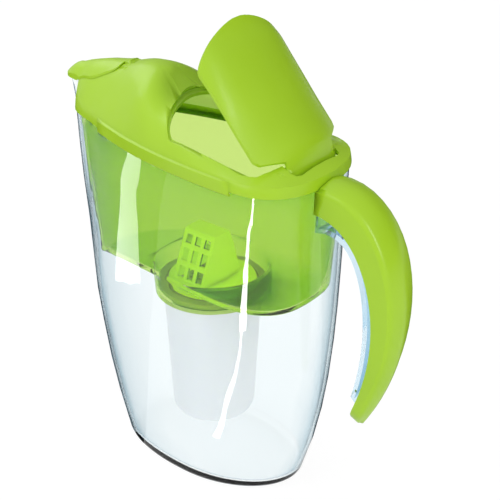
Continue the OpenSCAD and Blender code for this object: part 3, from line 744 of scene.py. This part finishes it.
@dataclass
class Shell:
    """Smooth piece with the exact shape of a CAD node.

    Attributes:
        node: The CAD node that it stands for.
        name: The piece's name.
        body: The body that it rides on.
        slot: Its material slot.
        smooth_below: Angle in degrees below which edges are shaded smooth.
        edge_round: Width of the small round along its sharp edges, 0 for none.
        finish: Its own finish, where that differs from the slot's.
        piece: The piece, once it is built.
        WELD: Distance within which vertices are joined.
        FLAT_WITHIN: Bend below which two triangles become one face.
        SKEW_WITHIN: Greatest skew of such a face.
        SHARP_ABOVE: Bend above which an edge gets its small round.
    """

    node: str
    name: str
    body: Body
    slot: Slot
    smooth_below: float
    edge_round: float = 0.0
    finish: Finish | None = None
    piece: bpy.types.Object | None = field(default=None, init=False)
    WELD: ClassVar[float] = 0.00001
    FLAT_WITHIN: ClassVar[float] = math.radians(4)
    SKEW_WITHIN: ClassVar[float] = math.radians(60)
    SHARP_ABOVE: ClassVar[float] = math.radians(50)

    def build(self) -> None:
        """Copies the node's mesh, welds its loose triangles and smooths it."""
        self.piece = bpy.data.objects.new(self.name, frame["nodes"][self.node].data.copy())
        self.piece.data.name = self.name
        bpy.context.scene.collection.objects.link(self.piece)
        with edited(self.piece):
            bpy.ops.mesh.select_all(action="SELECT")
            bpy.ops.mesh.remove_doubles(threshold=self.WELD)
            bpy.ops.mesh.tris_convert_to_quads(
                face_threshold=self.FLAT_WITHIN, shape_threshold=self.SKEW_WITHIN
            )
        if self.edge_round:
            self._round_edges()
        bpy.ops.object.shade_smooth_by_angle(angle=math.radians(self.smooth_below))

    def _round_edges(self) -> None:
        """Gives the piece's sharp edges their small round."""
        bevel = self.piece.modifiers.new("Bevel", "BEVEL")
        bevel.width = self.edge_round
        bevel.segments = 2
        bevel.limit_method = "ANGLE"
        bevel.angle_limit = self.SHARP_ABOVE
        bevel.use_clamp_overlap = True
        bpy.ops.object.modifier_apply(modifier=bevel.name)

    def dress(self, finishes: Finishes) -> None:
        """Gives the piece its finish and its body.

        Args:
            finishes: The materials.
        """
        finishes.dress(self.piece, self.slot, self.finish)
        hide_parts(self.node)
        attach(self.piece, self.body.value)
        log.info("%s: %d faces", self.name, len(self.piece.data.polygons))


@dataclass
class SubAssembly:
    """A group of pieces that is built and then dressed.

    Attributes:
        shells: Smooth pieces that stand for CAD nodes.
        carried: CAD nodes that stay as they are, with their slots.
    """

    shells: list[Shell] = field(default_factory=list)
    carried: dict[str, Slot] = field(default_factory=dict)

    def build(self) -> None:
        """Builds the pieces."""
        for shell in self.shells:
            shell.build()

    def dress(self, finishes: Finishes) -> None:
        """Dresses the pieces and the carried-over nodes.

        Args:
            finishes: The materials.
        """
        for shell in self.shells:
            shell.dress(finishes)
        for node, slot in self.carried.items():
            finishes.dress(frame["nodes"][node], slot)


@dataclass
class Jug(SubAssembly):
    """The clear jug with its handle's stem and cover."""

    shells: list[Shell] = field(default_factory=lambda: [
        Shell("jug_body", "jug_wall", Body.JUG, Slot.CLEAR, 40),
        Shell("handle_stem", "handle_rib", Body.JUG, Slot.CLEAR, 30, finish=BLUE_RIB),
        Shell("handle_cover", "handle_grip", Body.JUG, Slot.LIME, 35),
    ])


@dataclass
class Hopper(SubAssembly):
    """The tinted hopper that holds the unfiltered water."""

    shells: list[Shell] = field(default_factory=lambda: [
        Shell("hopper", "hopper_wall", Body.HOPPER, Slot.TINTED, 40),
    ])


@dataclass
class Lid(SubAssembly):
    """The lid with its flip flap and its spout flap.

    Attributes:
        pin_bores: Joint, and a radius just outside that of its pins' bores.
        heart: Half the length, and the height, of the line under the dome that its inside faces.
        inside_slope: Greatest upward part of an inside face's normal.
        inside_offset: Greatest length, along an inside face's normal, of the way from that line
            to the face.
    """

    shells: list[Shell] = field(default_factory=lambda: [
        Shell("lid_shell", "lid_dome", Body.LID, Slot.LIME, 30),
        Shell("flip_flap", "flap_panel", Body.FLAP, Slot.LIME, 30),
        Shell("spout_flap", "spout_leaf", Body.LEAF, Slot.LIME, 30),
    ])
    pin_bores: tuple[tuple[str, float], ...] = (
        ("flap_hinge", 0.0017),
        ("spout_flap_hinge", 0.0012),
    )
    heart: Span = (0.06, 0.2)
    inside_slope: float = -0.2
    inside_offset: float = -0.0005

    @property
    def dome(self) -> bpy.types.Object:
        """Returns the lid's dome."""
        return self.shells[0].piece

    def build(self) -> None:
        """Builds the pieces, and closes the pins' bores in the dome."""
        super().build()
        for joint, radius in self.pin_bores:
            self._close_bore(joint, radius)

    def dress(self, finishes: Finishes) -> None:
        """Dresses the pieces, and gives the dome's shaded inside a paler, glowing finish of
        painted light.

        Args:
            finishes: The materials.
        """
        super().dress(finishes)
        # The inside faces get the painted light.
        finishes.line(self.dome, LID_INSIDE_PAINTED_LIGHT)
        for face in self.dome.data.polygons:
            if self._is_inside(face):
                face.material_index = 1

    def _is_inside(self, face: bpy.types.MeshPolygon) -> bool:
        """Tells whether a face looks down, and towards the line under the dome.

        Args:
            face: A face of the dome.

        Returns:
            Whether it belongs to the dome's inside, which gets painted light.
        """
        reach, height = self.heart
        along = max(-reach, min(reach, face.center.x))
        spoke = face.center - Vector((along, 0.0, height))
        return face.normal.z < self.inside_slope and face.normal.dot(spoke) < self.inside_offset

    def _close_bore(self, joint: str, radius: float) -> None:
        """Takes a cross bore's wall out of the dome and fills its mouths.

        Args:
            joint: The joint whose pins turn in the bore.
            radius: A radius just outside the bore's.
        """
        axis = Vector(next(j["pos_m"] for j in frame["joints"] if j["name"] == joint))

        def in_bore(face: bmesh.types.BMFace) -> bool:
            """Tells whether a face lies within the radius of the pins' axis."""
            return all(
                math.hypot(v.co.x - axis.x, v.co.z - axis.z) < radius for v in face.verts
            )

        with edited(self.dome):
            log.info("%s: %d faces in the bore", joint, pick(self.dome, "FACE", in_bore))
            bpy.ops.mesh.delete(type="FACE")
            mouths = pick(self.dome, "EDGE", lambda edge: edge.is_boundary)
            log.info("%s: %d edges of the mouths", joint, mouths)
            bpy.ops.mesh.fill_holes(sides=0)


@dataclass
class Cartridge(SubAssembly):
    """The filter cartridge with its cage and its beds."""

    shells: list[Shell] = field(default_factory=lambda: [
        Shell("cartridge_cup", "cup_wall", Body.CARTRIDGE, Slot.WHITE, 32),
        Shell("cartridge_cage", "cage_tower", Body.CARTRIDGE, Slot.BRIGHT, 28, 0.0004),
    ])
    carried: dict[str, Slot] = field(default_factory=lambda: {
        "cartridge_seal": Slot.SEAL,
        "inlet_screen": Slot.SCREEN,
        "outlet_screen": Slot.SCREEN,
        "carbon_bed": Slot.CARBON,
        "felt_divider": Slot.FELT,
        "resin_bed": Slot.RESIN,
    })


# ---------------------------------------------------------------- studio


@dataclass
class SoftBox:
    """Rectangular studio lamp.

    Attributes:
        name: The lamp's name.
        place: Its place.
        aim: The point that it faces.
        size: Its width and height.
        power: Its power in watts.
        mirrored_by: The one piece whose gloss mirrors it, and which it doesn't light otherwise.
            Without one, the lamp lights everything.
        turn: Its turn about its own axis, in degrees.
    """

    name: str
    place: Place
    aim: Place
    size: Span
    power: float
    mirrored_by: str = ""
    turn: float = 0

    def hang(self) -> None:
        """Adds the lamp to the scene."""
        data = bpy.data.lights.new(self.name, "AREA")
        data.shape = "RECTANGLE"
        data.size, data.size_y, data.energy = *self.size, self.power
        lamp = bpy.data.objects.new(self.name, data)
        back = (Vector(self.place) - Vector(self.aim)).normalized()
        lamp.matrix_world = (
            Matrix.Translation(self.place)
            @ back.to_track_quat("Z", "Y").to_matrix().to_4x4()
            @ Matrix.Rotation(math.radians(self.turn), 4, "Z")
        )
        lamp.visible_camera = False
        lamp.visible_transmission = False
        if self.mirrored_by:
            lamp.visible_diffuse = False
            receivers = bpy.data.collections.new(self.name)
            receivers.objects.link(bpy.data.objects[self.mirrored_by])
            lamp.light_linking.receiver_collection = receivers
        bpy.context.scene.collection.objects.link(lamp)


@dataclass
class Studio:
    """Floor, sky, lamps and camera.

    Attributes:
        azimuth: The camera's angle round the object, in degrees.
        elevation: The camera's height angle, in degrees.
        target: The point that the camera faces.
        distance: The camera's distance from it.
        sensor: The camera's frame width, in millimetres.
        focal_share: The lens's focal length as a share of the frame's width.
        far_clip: Greatest distance that the camera sees.
        bounces: Greatest number of walls that light passes or bounces off.
        floor_white: Share of the floor's plain white that the viewer sees.
        floor_mirrored: What part of that share gloss sees.
        bright_side: Direction of the sky's brightest part.
        sky_turn: Where the sky starts and stops growing brighter, as cosines from that direction.
        sky: Least and greatest strength of the sky on the object.
        mirrored_sky: Least and greatest strength of the sky in glossy reflections.
        lamps: The soft boxes.
        FLOOR_SIZE: Length of the floor's side.
        FLOOR_HEIGHT: The floor's height, just under the object.
        FLOOR_COLOUR: The floor's colour where it isn't plain white.
        FLOOR_GLOW: Strength of the floor's plain white.
        CARD_SIZE: Length of the dark card's side.
        CARD_HEIGHT: The dark card's height, between the floor and the object.
        CARD_COLOUR: The dark card's colour.
    """

    azimuth: float = 38.43
    elevation: float = 28.28
    target: Place = (0.02483, 0.0, 0.16161)
    distance: float = 0.88273
    sensor: float = 36
    focal_share: float = 2.8
    far_clip: float = 100
    bounces: int = 24
    floor_white: float = 0.86
    floor_mirrored: float = 0.5
    bright_side: Place = (-0.3, -0.7, 0.65)
    sky_turn: Span = (-0.7, 0.9)
    sky: Span = (0.3, 0.85)
    mirrored_sky: Span = (0.03, 1.1)
    lamps: tuple[SoftBox, ...] = (
        SoftBox("key_box", (-0.5, -1.2, 1.2), (0.0, 0.0, 0.15), (0.6, 0.8), 3.0),
        SoftBox("top_box", (-0.85, 0.0, 1.0), (0.0, 0.0, 0.2), (0.8, 0.8), 3.4),
        SoftBox("fill_box", (1.2, -0.5, 0.8), (0.0, 0.0, 0.15), (0.3, 0.9), 5.8),
        SoftBox(
            "strip_far", (0.052, -0.36, 0.002), (0.052, -0.36, 1.0), (0.034, 0.3), 1.7,
            mirrored_by="jug_wall", turn=-3,
        ),
        SoftBox(
            "strip_near", (0.028, -0.145, 0.002), (0.028, -0.145, 1.0), (0.01, 0.14), 0.12,
            mirrored_by="jug_wall", turn=-11,
        ),
        SoftBox(
            "band_box", (-0.445, -0.205, 0.002), (-0.445, -0.205, 1.0), (0.4, 0.08), 0.8,
            mirrored_by="jug_wall", turn=-25,
        ),
    )
    FLOOR_SIZE: ClassVar[float] = 30
    FLOOR_HEIGHT: ClassVar[float] = -0.0002
    FLOOR_COLOUR: ClassVar[Colour] = (0.95, 0.95, 0.95)
    FLOOR_GLOW: ClassVar[float] = 1.05
    CARD_SIZE: ClassVar[float] = 2
    CARD_HEIGHT: ClassVar[float] = -0.0001
    CARD_COLOUR: ClassVar[Colour] = (0.01, 0.015, 0.02)

    def lay_floor(self) -> None:
        """Adds the pale floor, which keeps the object's shadow."""
        bpy.ops.mesh.primitive_plane_add(size=self.FLOOR_SIZE, location=(0, 0, self.FLOOR_HEIGHT))
        floor = bpy.context.object
        floor.name = "floor"
        sheet = MaterialSheet("floor_paper")
        matt = sheet.add("ShaderNodeBsdfDiffuse", Color=(*self.FLOOR_COLOUR, 1))
        glow = sheet.add("ShaderNodeEmission", Color=WHITE, Strength=self.FLOOR_GLOW)
        share = sheet.plain_white(self.floor_white, self.floor_mirrored)
        sheet.finish(sheet.mix_shaders(share, matt, glow))
        floor.data.materials.append(sheet.material)

    def lay_dark_card(self) -> None:
        """Lays a dark card behind the object that only gloss sees, for clear walls' outlines."""
        turn = math.radians(self.azimuth)
        bpy.ops.mesh.primitive_plane_add(
            size=self.CARD_SIZE, location=(-math.sin(turn), math.cos(turn), self.CARD_HEIGHT),
            rotation=(0, 0, turn),
        )
        card = bpy.context.object
        card.name = "dark_card"
        for sight in ("camera", "diffuse", "transmission", "shadow", "volume_scatter"):
            setattr(card, f"visible_{sight}", False)
        sheet = MaterialSheet("dark_paper")
        sheet.finish(sheet.add("ShaderNodeBsdfDiffuse", Color=(*self.CARD_COLOUR, 1)))
        card.data.materials.append(sheet.material)

    def _gradient(self, sheet: NodeSheet, ends: Span) -> Socket:
        """Returns a strength that grows towards the sky's bright side.

        Args:
            sheet: The sky's node tree.
            ends: Its least and its greatest value.

        Returns:
            The strength.
        """
        way = sheet.add("ShaderNodeTexCoord").outputs["Generated"]
        along = sheet.add("ShaderNodeVectorMath", operation="DOT_PRODUCT")
        sheet.feed(along.inputs[0], way)
        sheet.feed(along.inputs[1], Vector(self.bright_side).normalized())
        return sheet.spread(along.outputs["Value"], self.sky_turn, ends, "SMOOTHSTEP")

    def light(self) -> None:
        """Lights the scene with a white sky and the soft boxes."""
        world = bpy.context.scene.world or bpy.data.worlds.new("sky")
        bpy.context.scene.world = world
        world.use_nodes = True
        sheet = NodeSheet(world.node_tree, "ShaderNodeOutputWorld")
        gloss = sheet.add("ShaderNodeLightPath").outputs["Is Glossy Ray"]
        ends = (self._gradient(sheet, span) for span in (self.sky, self.mirrored_sky))
        strength = sheet.blend(Mixed.FLOAT, gloss, *ends)
        graded = sheet.add("ShaderNodeBackground", Color=WHITE, Strength=strength)
        plain = sheet.add("ShaderNodeBackground", Color=WHITE)
        sheet.finish(sheet.mix_shaders(sheet.plain_white(1.0), graded, plain))
        for lamp in self.lamps:
            lamp.hang()

    def point_camera(self) -> None:
        """Puts the camera at its angle and makes it the scene's."""
        data = bpy.data.cameras.new("camera")
        data.sensor_width = self.sensor
        data.lens = self.sensor * self.focal_share
        data.clip_end = self.far_clip
        camera = bpy.data.objects.new("camera", data)
        turn, rise = math.radians(self.azimuth), math.radians(self.elevation)
        out, up = math.cos(rise), math.sin(rise)
        back = Vector((math.sin(turn) * out, -math.cos(turn) * out, up))
        right = Vector((math.cos(turn), math.sin(turn), 0))
        axes = Matrix((right, back.cross(right), back)).transposed().to_4x4()
        eye = Vector(self.target) + back * self.distance
        camera.matrix_world = Matrix.Translation(eye) @ axes
        bpy.context.scene.collection.objects.link(camera)
        bpy.context.scene.camera = camera

    def set_up(self) -> None:
        """Sets up the whole studio."""
        scene = bpy.context.scene
        scene.view_settings.view_transform = "Standard"
        for limit in ("transparent_max_bounces", "transmission_bounces", "max_bounces"):
            setattr(scene.cycles, limit, self.bounces)
        self.lay_floor()
        self.lay_dark_card()
        self.light()
        self.point_camera()


def main() -> None:
    """Builds and dresses the sub-assemblies, then sets up the studio."""
    logging.basicConfig(level=logging.INFO, format="%(name)s: %(message)s")
    finishes = Finishes()
    for group in (Jug(), Hopper(), Lid(), Cartridge()):
        group.build()
        group.dress(finishes)
    Studio().set_up()


if __name__ == "__main__":
    main()
